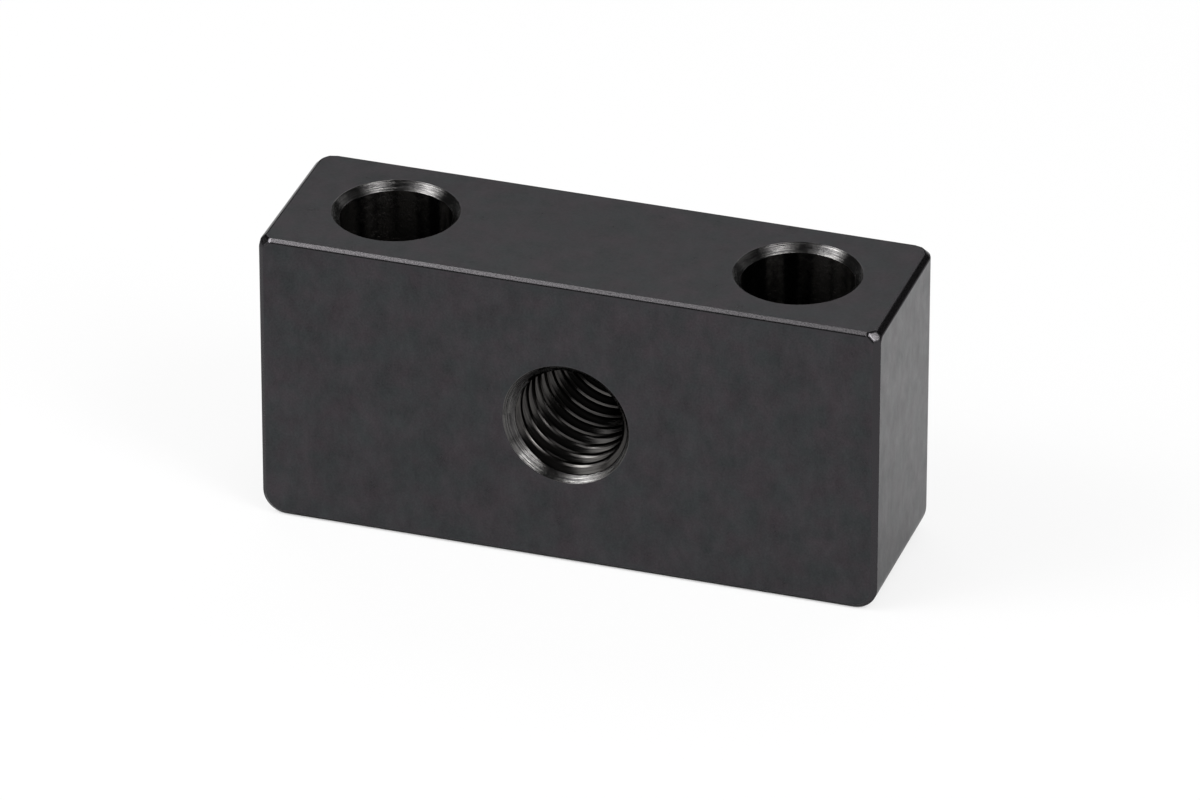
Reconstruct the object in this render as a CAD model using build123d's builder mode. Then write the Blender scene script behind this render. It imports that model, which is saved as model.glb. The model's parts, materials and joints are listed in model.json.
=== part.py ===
from build123d import *
import os

os.makedirs("parts", exist_ok=True)

# All lengths in millimetres. Origin at the centre of the bottom face, +Z up,
# front face towards -Y, length along X.

# Block
length = 40.0
thickness = 12.0
height = 19.5

# Edges. The feet are the two lower ends as seen from the front, and the back radius
# runs down both sides of the back face and along its bottom.
foot_radius = 1.5
back_radius = 1.2
edge_break = 0.35
front_top_break = 0.2
corner_flat_depth = 0.55

# Two plain bolt holes, top face to bottom face
bolt_spacing = 26.0
bolt_hole_dia = 7.0
bolt_mouth_dia = 8.0

# M8 x 1.25 threaded hole, front face to back face, at its tap-drill size
tap_drill_dia = 6.8
tap_mouth_dia = 8.2
tap_height = height / 2

with BuildPart() as mounting_block:
    # Front outline with rounded feet, drawn out through the thickness
    with BuildSketch(Plane.XZ):
        with Locations((0, height / 2)):
            outline = Rectangle(length, height)
        fillet(outline.vertices().group_by(Axis.Y)[0], foot_radius)
    extrude(amount=thickness / 2, both=True)

    # Rounded back: sides, feet and bottom in one run
    back_face = mounting_block.faces().sort_by(Axis.Y)[-1]
    fillet(back_face.edges() - back_face.edges().group_by(Axis.Z)[-1], back_radius)

    # Front: sides, feet and bottom broken at 45 degrees in one run
    front_face = mounting_block.faces().sort_by(Axis.Y)[0]
    chamfer(front_face.edges() - front_face.edges().group_by(Axis.Z)[-1], edge_break)

    # Top: ends and back broken alike, the front edge broken finer
    top_face = mounting_block.faces().sort_by(Axis.Z)[-1]
    chamfer(top_face.edges() - top_face.edges().group_by(Axis.Y)[0], edge_break)
    top_face = mounting_block.faces().sort_by(Axis.Z)[-1]
    chamfer(top_face.edges().group_by(Axis.Y)[0], front_top_break)

    # Small flats across the two upper front corners
    for side in (-1, 1):
        corner = Vector(side * length / 2, -thickness / 2, height)
        inward = Vector(-side, 1, -1).normalized()
        split(bisect_by=Plane(corner + inward * corner_flat_depth, z_dir=inward))

    # Bolt holes, mouths broken top and bottom
    with Locations(Plane.XY.offset(height)):
        with GridLocations(bolt_spacing, 0, 2, 1):
            Hole(bolt_hole_dia / 2)
    bolt_rims = mounting_block.edges(Select.LAST).filter_by(GeomType.CIRCLE)
    chamfer(bolt_rims, (bolt_mouth_dia - bolt_hole_dia) / 2)

    # Threaded hole, mouths broken front and back
    with Locations(Plane((0, -thickness / 2, tap_height), z_dir=(0, -1, 0))):
        Hole(tap_drill_dia / 2)
    tap_rims = mounting_block.edges(Select.LAST).filter_by(GeomType.CIRCLE)
    chamfer(tap_rims, (tap_mouth_dia - tap_drill_dia) / 2)

mounting_block.part.label = "mounting_block"
export_step(mounting_block.part, "parts/mounting_block.step")
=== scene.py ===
import json
import math

import bmesh
import bpy
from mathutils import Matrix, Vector


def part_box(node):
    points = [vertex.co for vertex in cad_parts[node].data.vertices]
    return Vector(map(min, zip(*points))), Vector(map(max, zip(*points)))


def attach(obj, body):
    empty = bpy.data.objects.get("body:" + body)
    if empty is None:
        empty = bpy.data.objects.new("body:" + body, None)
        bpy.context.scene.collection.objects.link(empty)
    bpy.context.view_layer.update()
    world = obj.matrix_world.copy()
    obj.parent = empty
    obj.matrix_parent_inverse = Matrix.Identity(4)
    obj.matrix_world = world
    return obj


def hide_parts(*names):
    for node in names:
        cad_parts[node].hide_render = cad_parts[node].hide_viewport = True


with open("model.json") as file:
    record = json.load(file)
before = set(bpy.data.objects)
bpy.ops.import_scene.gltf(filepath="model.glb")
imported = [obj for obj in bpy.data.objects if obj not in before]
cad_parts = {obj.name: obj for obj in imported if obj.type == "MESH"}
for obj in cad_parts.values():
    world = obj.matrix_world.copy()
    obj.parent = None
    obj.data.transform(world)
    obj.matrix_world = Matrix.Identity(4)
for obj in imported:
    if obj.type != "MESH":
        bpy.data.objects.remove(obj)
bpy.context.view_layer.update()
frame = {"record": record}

MM = 0.001
NODE = "mounting_block"
BODY = "root"

# ---------------------------------------------------------------- sizes, in millimetres

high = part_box(NODE)[1] / MM
HALF_LENGTH = high.x
HALF_THICKNESS = high.y
HEIGHT = high.z

mounts = {mount["name"]: mount for mount in frame["record"]["mounts"]}
bolt = mounts["bolt_hole_right"]
BOLT_X = bolt["pos_m"][0] / MM
BOLT_RADIUS = bolt["dims"]["r_mm"]
BOLT_MOUTH = (HEIGHT - bolt["dims"]["length_mm"]) / 2
tap = mounts["threaded_hole"]
TAP_HEIGHT = tap["pos_m"][2] / MM
TAP_RADIUS = tap["dims"]["r_mm"]
TAP_MOUTH = (2 * HALF_THICKNESS - tap["dims"]["length_mm"]) / 2

FOOT_RADIUS = 1.5
BACK_RADIUS = 1.2
EDGE_BREAK = 0.35
FRONT_TOP_BREAK = 0.2
CORNER_FLAT_DEPTH = 0.55

# How far the sharp edges are dulled
CORNER_SOFTNESS = 0.22
END_BREAK_SOFTNESS = 0.1
BAND_SOFTNESS = 0.075
EDGE_SOFTNESS = 0.03
LIP_SOFTNESS = 0.015

THREAD_PITCH = 1.25
THREAD_HALF_ANGLE = math.radians(30)
THREAD_MAJOR_RADIUS = 4.0
THREAD_START = 0.85       # where the thread's turn begins, as a share of a turn
THREAD_ROOT = THREAD_PITCH / 8
CREST_BREAK = 0.12
THREAD_SOFTNESS = 0.04

# How finely the mesh follows the curves
FOOT_STEPS = 10
BACK_STEPS = 5
CUT_STEPS = 4
HOLE_STEPS = 144
SOFT_STEPS = 3
FLANK_STEP = 0.06

# What counts as the same place, as a direction along an axis or nearly so, and as a sharp edge
SAME_PLACE = 0.0005
PLACES_PER_MM = 1e5
LEVEL = 0.999
FLAT = 0.999999
NEARLY_ALONG = math.cos(math.radians(6))
SHARP_ANGLE = math.radians(20)

# Faces of the mesh by finish
(MILLED, BROKEN_EDGE, WORN_EDGE, WORN_CORNER,
 BOLT_HOLE_MOUTH, BORE, TAPPED_MOUTH, THREAD) = range(8)


# ---------------------------------------------------------------- outer form

def side_inset(y):
    """How far the ends, the feet and the bottom draw in at depth y."""
    front = max(0.0, EDGE_BREAK - (y + HALF_THICKNESS))
    into_back = max(0.0, y - (HALF_THICKNESS - BACK_RADIUS))
    return front + BACK_RADIUS - math.sqrt(max(0.0, BACK_RADIUS**2 - into_back**2))


def top_height(y):
    """Height of the top at depth y, with its front and back edges broken."""
    front = max(0.0, FRONT_TOP_BREAK - (y + HALF_THICKNESS))
    back = max(0.0, y - (HALF_THICKNESS - EDGE_BREAK))
    return HEIGHT - front - back


# The corner flats lie in the planes |x| - y + z = CORNER_REACH
CORNER_REACH = HALF_LENGTH + HALF_THICKNESS + HEIGHT - CORNER_FLAT_DEPTH * math.sqrt(3)
BREAK_START = HEIGHT - EDGE_BREAK


def end_reach(y, z):
    """Half length of the block at depth y, in the zone of the broken upper edges."""
    inset = z - BREAK_START
    into_back = max(0.0, y - (HALF_THICKNESS - BACK_RADIUS))
    rounded = math.sqrt(max(0.0, (BACK_RADIUS - max(0.0, inset))**2 - into_back**2))
    return min(HALF_LENGTH - BACK_RADIUS + rounded, CORNER_REACH + y - z)


def half_ring(y):
    """Right half of the block's section at depth y, from the bottom up to the top, as (x, z)."""
    inset = side_inset(y)
    points = []
    for step in range(FOOT_STEPS + 1):
        angle = math.pi / 2 * (step / FOOT_STEPS - 1)
        points.append((HALF_LENGTH - FOOT_RADIUS + (FOOT_RADIUS - inset) * math.cos(angle),
                       FOOT_RADIUS + (FOOT_RADIUS - inset) * math.sin(angle)))
    cut_low = min(BREAK_START, CORNER_REACH + y - (HALF_LENGTH - inset))
    cut_high = top_height(y)
    for step in range(CUT_STEPS + 1):
        z = cut_low + (cut_high - cut_low) * step / CUT_STEPS
        points.append((min(HALF_LENGTH - inset, end_reach(y, z)), z))
    return points


def ring_depths():
    """The depths, front to back, at which the section changes its course."""
    fillet_start = HALF_THICKNESS - BACK_RADIUS
    break_angle = math.asin(1 - EDGE_BREAK / BACK_RADIUS)
    angles = [break_angle * step / BACK_STEPS for step in range(BACK_STEPS + 1)]
    rest = math.pi / 2 - break_angle
    angles += [break_angle + rest * (step + 1) / BACK_STEPS for step in range(BACK_STEPS)]
    front = [-HALF_THICKNESS, -HALF_THICKNESS + FRONT_TOP_BREAK, -HALF_THICKNESS + EDGE_BREAK,
             BREAK_START + HALF_LENGTH - CORNER_REACH]
    return front + [fillet_start + BACK_RADIUS * math.sin(angle) for angle in angles]


BAND_NORMAL = Vector((0, -1, 1)).normalized()
CORNER_LEAN = 0.4         # a corner flat's normal reaches this far along all three axes
END_LEAN = 0.6            # the normal of a broken upper end reaches this far along X and Z
TOP_LEAN = 0.1            # a broken top edge's normal rises this far at least
TOP_BREAK_DEPTH = 2 * CORNER_FLAT_DEPTH


def largest_part(normal):
    """How far a normal reaches along the axis that it is nearest to."""
    return max(abs(value) for value in normal)


def on_band(normal):
    """Whether a normal is that of the broken edge between the front and the top."""
    return normal.dot(BAND_NORMAL) > NEARLY_ALONG


def finish_of(face):
    """The finish of an outer face, once its edges are dulled."""
    normal = face.normal
    if largest_part(normal) > LEVEL:
        return MILLED
    if on_band(normal):
        return WORN_EDGE
    centre = face.calc_center_median()
    corner_normal = Vector((math.copysign(1, centre.x), -1, 1)).normalized()
    if normal.dot(corner_normal) > NEARLY_ALONG:
        return WORN_CORNER
    in_front_break = centre.y < -HALF_THICKNESS + EDGE_BREAK
    in_top_break = centre.z > HEIGHT - TOP_BREAK_DEPTH and normal.z > TOP_LEAN
    return BROKEN_EDGE if in_front_break or in_top_break else MILLED


def softness_of(edge):
    """How far an edge is dulled: most round the corner flats, then along the ends of the top."""
    if edge.calc_face_angle(0) < SHARP_ANGLE:
        return 0.0
    normals = [face.normal for face in edge.link_faces]
    if any(min(abs(n.x), -n.y, n.z) > CORNER_LEAN for n in normals):
        return CORNER_SOFTNESS
    if any(min(abs(n.x), n.z) > END_LEAN for n in normals):
        return END_BREAK_SOFTNESS
    meets_band = any(on_band(n) for n in normals)
    meets_front = any(n.y < -LEVEL for n in normals)
    return BAND_SOFTNESS if meets_band and meets_front else EDGE_SOFTNESS


def add_outer_form(mesh):
    """The block without its holes, its sharp edges dulled. Returns its four flat faces by name."""
    rings = []
    for y in ring_depths():
        right = half_ring(y)
        loop = right + [(-x, z) for x, z in reversed(right)]
        rings.append([mesh.verts.new((x, y, z)) for x, z in loop])
    for front, back in zip(rings, rings[1:]):
        for i in range(len(front)):
            j = (i + 1) % len(front)
            mesh.faces.new((front[i], front[j], back[j], back[i]))
    mesh.faces.new(rings[0])
    mesh.faces.new(rings[-1])
    bmesh.ops.remove_doubles(mesh, verts=mesh.verts, dist=SAME_PLACE)
    bmesh.ops.recalc_face_normals(mesh, faces=mesh.faces)

    # The strips of the top are joined to one face, and so are those of the bottom
    for side in (1, -1):
        strips = [face for face in mesh.faces if face.normal.z * side > LEVEL]
        bmesh.ops.dissolve_faces(mesh, faces=strips, use_verts=False)

    for softness in (CORNER_SOFTNESS, END_BREAK_SOFTNESS, BAND_SOFTNESS, EDGE_SOFTNESS):
        sharp = [edge for edge in mesh.edges if softness_of(edge) == softness]
        bmesh.ops.bevel(mesh, geom=sharp, offset=softness, offset_type="OFFSET",
                        segments=SOFT_STEPS, profile=0.5, affect="EDGES", clamp_overlap=True,
                        material=-1)
    # A dulled edge may reach out of the block's ends or its top by a hair
    for vertex in mesh.verts:
        vertex.co.x = max(-HALF_LENGTH, min(HALF_LENGTH, vertex.co.x))
        vertex.co.z = min(HEIGHT, vertex.co.z)
    for face in mesh.faces:
        face.material_index = finish_of(face)
    directions = {"front": Vector((0, -1, 0)), "back": Vector((0, 1, 0)),
                  "top": Vector((0, 0, 1)), "bottom": Vector((0, 0, -1))}
    flats = {}
    for name, direction in directions.items():
        facing = [face for face in mesh.faces if face.normal.dot(direction) > LEVEL]
        flats[name] = max(facing, key=lambda face: face.calc_area())
    return flats


# ---------------------------------------------------------------- holes

def softened(points, setbacks):
    """A run of points in a section, with each inner corner replaced by a short curve."""
    run = [points[0]]
    for before, corner, after, setback in zip(points, points[1:], points[2:], setbacks):
        corner = Vector(corner)
        start = corner + (Vector(before) - corner).normalized() * setback
        end = corner + (Vector(after) - corner).normalized() * setback
        for step in range(SOFT_STEPS + 1):
            t = step / SOFT_STEPS
            run.append(tuple(start * (1 - t)**2 + corner * 2 * t * (1 - t) + end * t**2))
    run.append(points[-1])
    return run


def add_ring(mesh, place, radius, depth):
    return [mesh.verts.new(place(radius, 2 * math.pi * i / HOLE_STEPS, depth))
            for i in range(HOLE_STEPS)]


def join_rings(mesh, near, far, finish):
    for i in range(HOLE_STEPS):
        j = (i + 1) % HOLE_STEPS
        mesh.faces.new((near[i], near[j], far[j], far[i])).material_index = finish


def ring_edges(mesh, ring):
    return [mesh.edges.get((ring[i - 1], ring[i])) for i in range(len(ring))]


def add_bolt_hole(mesh, x):
    """A plain hole with both mouths broken. Returns its rim edges in the top and bottom faces."""
    def place(radius, angle, z):
        return (x + radius * math.cos(angle), radius * math.sin(angle), z)

    rim = BOLT_RADIUS + BOLT_MOUTH
    profile = softened([(rim + 2 * LIP_SOFTNESS, HEIGHT), (rim, HEIGHT),
                        (BOLT_RADIUS, HEIGHT - BOLT_MOUTH), (BOLT_RADIUS, BOLT_MOUTH),
                        (rim, 0.0), (rim + 2 * LIP_SOFTNESS, 0.0)],
                       [LIP_SOFTNESS] * 4)[1:-1]
    rings = [add_ring(mesh, place, radius, depth) for radius, depth in profile]
    for i, (near, far) in enumerate(zip(rings, rings[1:])):
        widest = max(profile[i][0], profile[i + 1][0])
        in_mouth = widest > BOLT_RADIUS + SAME_PLACE
        join_rings(mesh, near, far, BOLT_HOLE_MOUTH if in_mouth else BORE)
    return ring_edges(mesh, rings[0]), ring_edges(mesh, rings[-1])


def thread_profile():
    """One pitch of the internal thread from crest to crest, as (depth, radius)."""
    slope = math.tan(THREAD_HALF_ANGLE)
    flank = (THREAD_MAJOR_RADIUS - TAP_RADIUS) * slope
    half_crest = (THREAD_PITCH - THREAD_ROOT) / 2 - flank
    rise = CREST_BREAK * slope
    half_flat = half_crest + rise - CREST_BREAK
    corners = [(-half_flat, TAP_RADIUS), (half_flat, TAP_RADIUS),
               (half_crest + rise, TAP_RADIUS + CREST_BREAK),
               (half_crest + flank, THREAD_MAJOR_RADIUS),
               (half_crest + flank + THREAD_ROOT, THREAD_MAJOR_RADIUS),
               (THREAD_PITCH - half_crest - rise, TAP_RADIUS + CREST_BREAK),
               (THREAD_PITCH - half_flat, TAP_RADIUS), (THREAD_PITCH + half_flat, TAP_RADIUS)]
    run = softened(corners, [THREAD_SOFTNESS] * (len(corners) - 2))[1:-1]
    fine = []
    for (depth, radius), (next_depth, next_radius) in zip(run, run[1:]):
        parts = max(1, math.ceil((next_depth - depth) / FLANK_STEP))
        for part in range(parts):
            t = part / parts
            fine.append((depth + (next_depth - depth) * t, radius + (next_radius - radius) * t))
    return fine


def add_threaded_hole(mesh):
    """The M8 hole, its thread running out into both mouths. Returns its rims, front and back."""
    def place(radius, angle, y):
        return (radius * math.cos(angle), y, TAP_HEIGHT + radius * math.sin(angle))

    limit = HALF_THICKNESS - LIP_SOFTNESS
    rim = TAP_RADIUS + TAP_MOUTH

    def mouth_radius(y):
        return rim - (HALF_THICKNESS - abs(y))

    # One row of points for each step of the thread's section, and one point in it for each angle
    grid = []
    first_turn = -2
    last_turn = math.ceil(2 * HALF_THICKNESS / THREAD_PITCH)
    for turn in range(first_turn, last_turn + 1):
        for depth, radius in thread_profile():
            start = -HALF_THICKNESS + (turn + THREAD_START) * THREAD_PITCH + depth
            row = []
            for i in range(HOLE_STEPS + 1):
                y = max(-limit, min(limit, start - THREAD_PITCH * i / HOLE_STEPS))
                row.append((i, y, max(radius, mouth_radius(y))))
            grid.append(row)

    made = {}

    def vertex(i, y, radius):
        key = (i % HOLE_STEPS, round(y * PLACES_PER_MM))
        if key not in made:
            made[key] = mesh.verts.new(place(radius, 2 * math.pi * i / HOLE_STEPS, y))
        return made[key]

    for near, far in zip(grid, grid[1:]):
        for i in range(HOLE_STEPS):
            points = (near[i], near[i + 1], far[i + 1], far[i])
            corners = list(dict.fromkeys(vertex(*point) for point in points))
            if len(corners) < 3:
                continue
            on_mouth = all(radius <= mouth_radius(y) for _, y, radius in points)
            mesh.faces.new(corners).material_index = TAPPED_MOUTH if on_mouth else THREAD

    rims = []
    for side in (-1, 1):
        inner = [made[(i, round(side * limit * PLACES_PER_MM))] for i in range(HOLE_STEPS)]
        lip = softened([(rim - LIP_SOFTNESS, side * limit), (rim, side * HALF_THICKNESS),
                        (rim + LIP_SOFTNESS, side * HALF_THICKNESS)], [LIP_SOFTNESS])[2:-1]
        for radius, y in lip:
            outer = add_ring(mesh, place, radius, y)
            join_rings(mesh, inner, outer, TAPPED_MOUTH)
            inner = outer
        rims.append(ring_edges(mesh, inner))
    return rims


def fill_flat(mesh, face, rims):
    """Fills a flat face again around the rims of the holes that open into it."""
    outline = list(face.edges)
    finish = face.material_index
    normal = face.normal.copy()
    bmesh.ops.delete(mesh, geom=[face], context="FACES_ONLY")
    edges = outline + [edge for rim in rims for edge in rim]
    made = bmesh.ops.triangle_fill(mesh, edges=edges, use_beauty=True, normal=normal)
    for item in made["geom"]:
        if isinstance(item, bmesh.types.BMFace):
            item.material_index = finish


def shading_normals(mesh):
    """A normal for each vertex: flat faces keep theirs up to the rim, the rest go by area."""
    normals = []
    for vertex in mesh.verts:
        flat = [face.normal for face in vertex.link_faces if largest_part(face.normal) > FLAT]
        if not flat:
            flat = [sum((face.normal * face.calc_area() for face in vertex.link_faces),
                        Vector())]
        normals.append(flat[0].normalized())
    return normals


def make_block():
    mesh = bmesh.new()
    flats = add_outer_form(mesh)
    left_top, left_bottom = add_bolt_hole(mesh, -BOLT_X)
    right_top, right_bottom = add_bolt_hole(mesh, BOLT_X)
    front_rim, back_rim = add_threaded_hole(mesh)
    fill_flat(mesh, flats["top"], [left_top, right_top])
    fill_flat(mesh, flats["bottom"], [left_bottom, right_bottom])
    fill_flat(mesh, flats["front"], [front_rim])
    fill_flat(mesh, flats["back"], [back_rim])
    bmesh.ops.recalc_face_normals(mesh, faces=mesh.faces)
    bmesh.ops.scale(mesh, vec=(MM, MM, MM), verts=mesh.verts)
    for face in mesh.faces:
        face.smooth = True
    normals = shading_normals(mesh)
    data = bpy.data.meshes.new("machined_block")
    mesh.to_mesh(data)
    mesh.free()
    data.normals_split_custom_set_from_vertices(normals)
    block = bpy.data.objects.new("machined_block", data)
    bpy.context.scene.collection.objects.link(block)
    return block


block = make_block()


# ---------------------------------------------------------------- materials

NOISE_RANGE = (0.3, 0.7)  # where nearly all of a noise's values lie


class NodeTree:
    """Short forms for adding and linking a material's nodes."""

    def __init__(self, name):
        self.material = bpy.data.materials.new(name)
        self.material.use_nodes = True
        self.tree = self.material.node_tree
        self.tree.nodes.clear()

    def add(self, kind, inputs=None, **settings):
        node = self.tree.nodes.new("ShaderNode" + kind)
        for name, value in settings.items():
            setattr(node, name, value)
        for name, value in (inputs or {}).items():
            if isinstance(value, bpy.types.NodeSocket):
                self.tree.links.new(value, node.inputs[name])
            else:
                node.inputs[name].default_value = value
        return node

    def math(self, operation, *values):
        node = self.add("Math", dict(enumerate(values)), operation=operation)
        return node.outputs[0]

    def noise(self, vector, scale, detail=2.0, roughness=0.5):
        node = self.add("TexNoise", {"Vector": vector, "Scale": scale, "Detail": detail,
                                     "Roughness": roughness})
        return node.outputs["Fac"]

    def mixed(self, first, second, share):
        """Two values added up, the first by its share and the second by the rest."""
        return self.math("ADD", self.math("MULTIPLY", first, share),
                         self.math("MULTIPLY", second, 1 - share))

    def spread(self, noise, to_low, to_high, noise_range=NOISE_RANGE):
        """A noise spread from its own range over another one."""
        node = self.add("MapRange", {"Value": noise, "From Min": noise_range[0],
                                     "From Max": noise_range[1],
                                     "To Min": to_low, "To Max": to_high})
        return node.outputs["Result"]

    def ramp(self, value, stops):
        """Two colours, each from its own position in the value on."""
        node = self.add("ValToRGB", {"Fac": value})
        elements = node.color_ramp.elements
        for element, (position, colour) in zip(elements, stops):
            element.position = position
            element.color = (*colour, 1.0)
        return node.outputs["Color"]

    def millimetres(self):
        """Place on the block in millimetres."""
        place = self.add("TexCoord").outputs["Object"]
        scaled = self.add("VectorMath", {0: place, "Scale": 1 / MM}, operation="SCALE")
        return scaled.outputs["Vector"]

    def stretched(self, vector, scale):
        node = self.add("VectorMath", {0: vector, 1: scale}, operation="MULTIPLY")
        return node.outputs["Vector"]

    def round_coordinates(self, vector, axis):
        """Place round a hole's own axis: a vector of (radius, position round it, depth)."""
        split = self.add("SeparateXYZ", {"Vector": vector}).outputs
        if axis == "Z":
            across = self.math("SUBTRACT", self.math("ABSOLUTE", split["X"]), BOLT_X)
            other, depth = split["Y"], split["Z"]
        else:
            across = split["X"]
            other, depth = self.math("SUBTRACT", split["Z"], TAP_HEIGHT), split["Y"]
        angle = self.math("ARCTAN2", other, across)
        radius = self.math("SQRT", self.math("ADD", self.math("MULTIPLY", across, across),
                                             self.math("MULTIPLY", other, other)))
        return self.add("CombineXYZ", {"X": radius, "Y": angle, "Z": depth}).outputs["Vector"]

    def finish(self, colour, roughness, height, bump_depth, edge_tint=1.0):
        """A metal. The edge tint below 1 darkens what it mirrors at a grazing angle."""
        bump = self.add("Bump", {"Height": height, "Distance": bump_depth * MM})
        shader = self.add("BsdfPrincipled", {"Base Color": colour, "Roughness": roughness,
                                             "Metallic": 1.0, "Normal": bump.outputs["Normal"],
                                             "Specular Tint": (edge_tint,) * 3 + (1.0,)})
        self.add("OutputMaterial", {"Surface": shader.outputs["BSDF"]})
        return self.material


OXIDE_WARM = (0.0475, 0.042, 0.0465)
OXIDE_COOL = (0.0395, 0.042, 0.044)
OXIDE_PLAIN = (0.043, 0.041, 0.044)
BARE_STEEL = (0.42, 0.40, 0.41)
MOUTH_DARK = (0.036, 0.035, 0.036)
MOUTH_BRIGHT = (0.120, 0.117, 0.114)
BORE_DARK = (0.012, 0.012, 0.013)
BORE_BRIGHT = (0.110, 0.104, 0.098)
THREAD_DARK = (0.026, 0.025, 0.025)
THREAD_BRIGHT = (0.070, 0.067, 0.064)


def milled_face():
    """Black oxide over a fine-milled face: patches of warm and cool tone, and a fine grain."""
    nodes = NodeTree("milled_face")
    place = nodes.millimetres()
    patches = nodes.noise(place, 0.55, detail=4.0, roughness=0.62)
    shade = nodes.noise(nodes.stretched(place, (1.0, 1.0, 0.6)), 0.9, detail=6.0, roughness=0.72)
    grain = nodes.noise(place, 7.0, detail=3.0, roughness=0.7)
    tint = nodes.ramp(patches, [(0.36, OXIDE_COOL), (0.66, OXIDE_WARM)])
    tone = nodes.spread(nodes.mixed(shade, grain, 0.6), 0.78, 1.24, noise_range=(0.35, 0.65))
    colour = nodes.add("VectorMath", {0: tint, "Scale": tone}, operation="SCALE")
    roughness = nodes.spread(shade, 0.27, 0.40)
    return nodes.finish(colour.outputs["Vector"], roughness, grain, 0.004)


def broken_edge(name, worn_share):
    """A deburred edge: smoother than the faces, worn through to steel in specks."""
    nodes = NodeTree(name)
    place = nodes.millimetres()
    specks = nodes.noise(place, 11.0, detail=3.0, roughness=0.7)
    worn = tuple(dark + worn_share * (bare - dark)
                 for dark, bare in zip(OXIDE_PLAIN, BARE_STEEL))
    colour = nodes.ramp(specks, [(0.36, OXIDE_PLAIN), (0.56, worn)])
    roughness = nodes.spread(specks, 0.20, 0.30)
    return nodes.finish(colour, roughness, specks, 0.002, edge_tint=0.6)


def turned_mouth(name, axis):
    """A countersunk mouth, smoother than the faces, with fine rings left by the cutter."""
    nodes = NodeTree(name)
    place = nodes.round_coordinates(nodes.millimetres(), axis)
    rings = nodes.noise(nodes.stretched(place, (18.0, 1.1, 18.0)), 1.0, detail=3.0, roughness=0.65)
    colour = nodes.ramp(rings, [(0.38, MOUTH_DARK), (0.64, MOUTH_BRIGHT)])
    roughness = nodes.spread(rings, 0.19, 0.11)
    return nodes.finish(colour, roughness, rings, 0.02)


def drilled_bore():
    """A drilled and blackened bore, with faint streaks along it and small uneven spots."""
    nodes = NodeTree("drilled_bore")
    place = nodes.round_coordinates(nodes.millimetres(), "Z")
    streaks = nodes.noise(nodes.stretched(place, (1.0, 2.6, 0.08)), 1.0, detail=1.0)
    spots = nodes.noise(nodes.stretched(place, (1.0, 12.0, 4.0)), 1.0, detail=4.0, roughness=0.8)
    tone = nodes.mixed(streaks, spots, 0.7)
    colour = nodes.ramp(tone, [(0.46, BORE_DARK), (0.59, BORE_BRIGHT)])
    roughness = nodes.spread(tone, 0.26, 0.36)
    return nodes.finish(colour, roughness, spots, 0.06)


def tapped_thread():
    """The cut thread: glossy black, with fine marks along the turns."""
    nodes = NodeTree("tapped_thread")
    place = nodes.round_coordinates(nodes.millimetres(), "Y")
    marks = nodes.noise(nodes.stretched(place, (14.0, 0.6, 14.0)), 1.0, detail=3.0)
    colour = nodes.ramp(marks, [(0.3, THREAD_DARK), (0.7, THREAD_BRIGHT)])
    roughness = nodes.spread(marks, 0.14, 0.22)
    return nodes.finish(colour, roughness, marks, 0.006, edge_tint=0.4)


# In the order of the finishes that the mesh's faces are numbered by
for material in (milled_face(),
                 broken_edge("broken_edge", worn_share=0.0),
                 broken_edge("worn_edge", worn_share=0.14),
                 broken_edge("worn_corner", worn_share=0.12),
                 turned_mouth("bolt_hole_mouth", "Z"),
                 drilled_bore(),
                 turned_mouth("tapped_mouth", "Y"),
                 tapped_thread()):
    block.data.materials.append(material)

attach(block, BODY)
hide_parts(NODE)


# ---------------------------------------------------------------- floor and light

FLOOR_RADIUS = 4.0        # in metres, as the rim's height is
FLOOR_RIM = 0.3
FLOOR_SIDES = 96
FLOOR_DROP = 0.02         # in millimetres below the block, so that no two faces coincide
FLOOR_GREY = 0.80
FLOOR_LIFT = 0.88         # share of plain white in what the camera and the metal see of it
PAINTED_SHADOW_REACH = 22.0      # the white lift falls away this close to the block: a painted contact shadow, laid over the block's real shadow from the lamps, which shows through
PAINTED_SHADOW_SAMPLES = 4
SEEN_PAINTED_SHADOW_FALL = 0.13          # how steeply the painted shadow falls away for the camera
MIRRORED_PAINTED_SHADOW_FALL = 2.4       # and how steeply in the metal: a deeper painted shadow in the floor's reflection near the block


def white_ground():
    """Pale ground lifted to white for the eye and in the metal; near the block the white fades as
    a painted shadow over the block's real shadow.
    """
    nodes = NodeTree("white_ground")
    ray = nodes.add("LightPath").outputs
    plain = nodes.add("BsdfDiffuse", {"Color": (FLOOR_GREY,) * 3 + (1.0,)})
    white = nodes.add("Emission", {"Color": (1.0, 1.0, 1.0, 1.0), "Strength": 1.0})
    # Ambient occlusion fades the white near the block: painted contact shadow, faint for the
    # camera and deep in the metal's reflection
    painted_shadow_openness = nodes.add("AmbientOcclusion", {"Distance": PAINTED_SHADOW_REACH * MM},
                         samples=PAINTED_SHADOW_SAMPLES).outputs["AO"]
    seen = nodes.math("MULTIPLY", ray["Is Camera Ray"],
                      nodes.math("POWER", painted_shadow_openness, SEEN_PAINTED_SHADOW_FALL))
    mirrored = nodes.math("MULTIPLY",
                          nodes.math("MAXIMUM", ray["Is Glossy Ray"], ray["Is Transmission Ray"]),
                          nodes.math("POWER", painted_shadow_openness, MIRRORED_PAINTED_SHADOW_FALL))
    share = nodes.math("MULTIPLY", nodes.math("ADD", seen, mirrored), FLOOR_LIFT)
    mix = nodes.add("MixShader", {0: share, 1: plain.outputs["BSDF"],
                                  2: white.outputs["Emission"]})
    nodes.add("OutputMaterial", {"Surface": mix.outputs["Shader"]})
    return nodes.material


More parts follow.
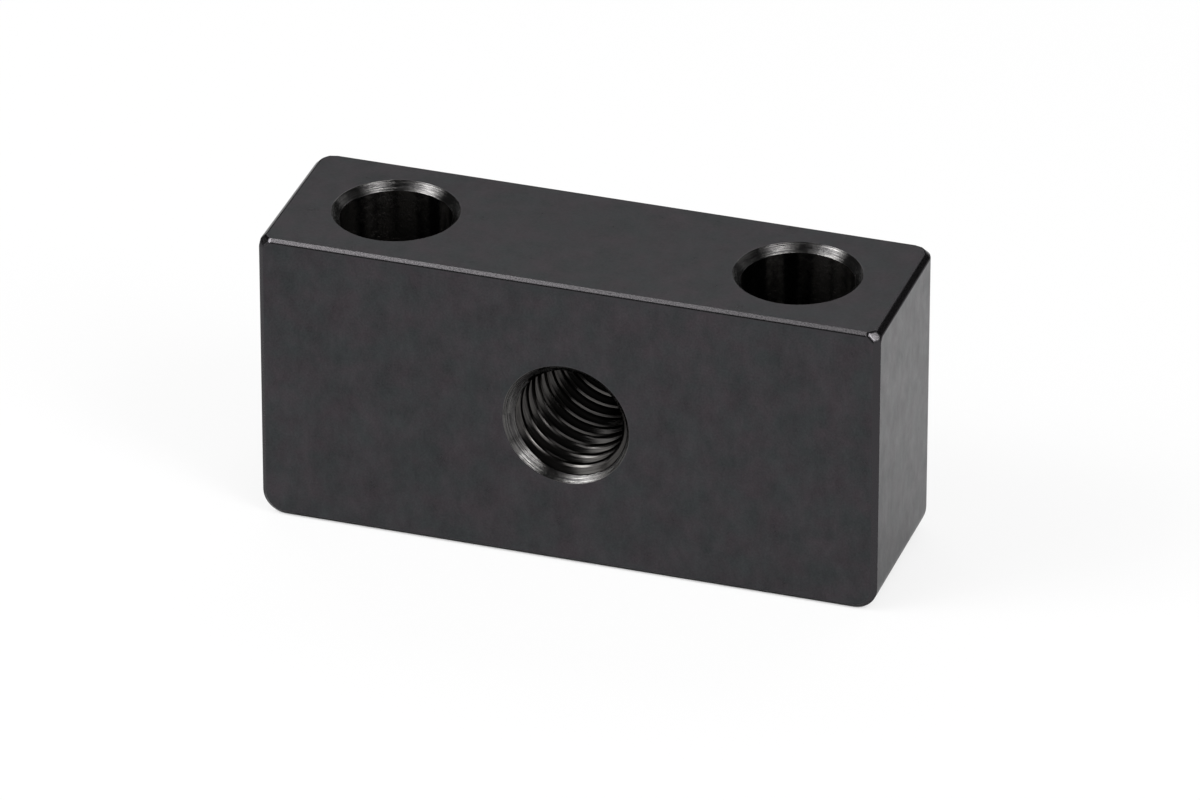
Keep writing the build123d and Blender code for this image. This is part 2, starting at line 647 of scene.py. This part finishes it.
def make_floor():
    """A wide round floor with a low rim, so that every view has it behind the block."""
    mesh = bmesh.new()
    bmesh.ops.create_circle(mesh, cap_ends=True, segments=FLOOR_SIDES, radius=FLOOR_RADIUS)
    edges = [edge for edge in mesh.edges if edge.is_boundary]
    raised = bmesh.ops.extrude_edge_only(mesh, edges=edges)["geom"]
    for item in raised:
        if isinstance(item, bmesh.types.BMVert):
            item.co.z += FLOOR_RIM
    data = bpy.data.meshes.new("floor")
    mesh.to_mesh(data)
    mesh.free()
    data.materials.append(white_ground())
    floor = bpy.data.objects.new("floor", data)
    floor.location.z = -FLOOR_DROP * MM
    bpy.context.scene.collection.objects.link(floor)


def outward(azimuth, elevation):
    """The direction out from the block, in degrees turned from -Y towards +X and then raised."""
    turn, rise = math.radians(azimuth), math.radians(elevation)
    return Vector((math.sin(turn) * math.cos(rise), -math.cos(turn) * math.cos(rise),
                   math.sin(rise)))


# Azimuth and elevation in degrees, distance, width and height in metres, and radiance.
# Each small core stands in front of a large dim box and gives the bright streaks in the metal.
SOFTBOXES = {
    "right_softbox": (64, 36, 0.60, 0.42, 0.56, 1.6),
    "right_softbox_core": (62, 42, 0.58, 0.15, 0.30, 11.0),
    "left_softbox": (-55, 38, 0.60, 0.48, 0.60, 2.4),
    "left_softbox_core": (-58, 45, 0.58, 0.20, 0.19, 12.0),
    "back_softbox": (186, 46, 0.70, 1.00, 0.36, 1.65),
}
WORLD_GREY = 0.06


def make_softbox(name, azimuth, elevation, distance, width, height, radiance):
    """A rectangular lamp aimed at the block."""
    towards = outward(azimuth, elevation)
    lamp = bpy.data.lights.new(name, "AREA")
    lamp.shape = "RECTANGLE"
    lamp.size = width
    lamp.size_y = height
    lamp.energy = radiance * math.pi * width * height
    box = bpy.data.objects.new(name, lamp)
    box.location = towards * distance
    box.rotation_mode = "QUATERNION"
    box.rotation_quaternion = towards.to_track_quat("Z", "Y")
    box.visible_camera = False
    bpy.context.scene.collection.objects.link(box)


def make_world():
    world = bpy.data.worlds.new("studio")
    world.use_nodes = True
    background = world.node_tree.nodes["Background"]
    background.inputs["Color"].default_value = (WORLD_GREY,) * 3 + (1.0,)
    bpy.context.scene.world = world


make_floor()
for name, settings in SOFTBOXES.items():
    make_softbox(name, *settings)
make_world()


# ---------------------------------------------------------------- camera

CAMERA_AZIMUTH = 18.07
CAMERA_ELEVATION = 29.42
CAMERA_DISTANCE = 650.4
CAMERA_LENS = 315.0
SENSOR_WIDTH = 36.0
CLIP_START = 10.0
AIM_RIGHT = 0.25          # the aim point lies this far right of the block's centre
AIM_DOWN = 1.25           # and this far below it, both as the camera sees them


def make_camera():
    back = outward(CAMERA_AZIMUTH, CAMERA_ELEVATION)
    right = Vector((0.0, 0.0, 1.0)).cross(back).normalized()
    up = back.cross(right)
    aim = Vector((0.0, 0.0, HEIGHT / 2)) + right * AIM_RIGHT - up * AIM_DOWN
    data = bpy.data.cameras.new("camera")
    data.lens = CAMERA_LENS
    data.sensor_width = SENSOR_WIDTH
    data.clip_start = CLIP_START * MM
    camera = bpy.data.objects.new("camera", data)
    camera.location = (aim + back * CAMERA_DISTANCE) * MM
    camera.rotation_mode = "QUATERNION"
    camera.rotation_quaternion = back.to_track_quat("Z", "Y")
    bpy.context.scene.collection.objects.link(camera)
    bpy.context.scene.camera = camera


make_camera()
bpy.context.scene.view_settings.view_transform = "Standard"
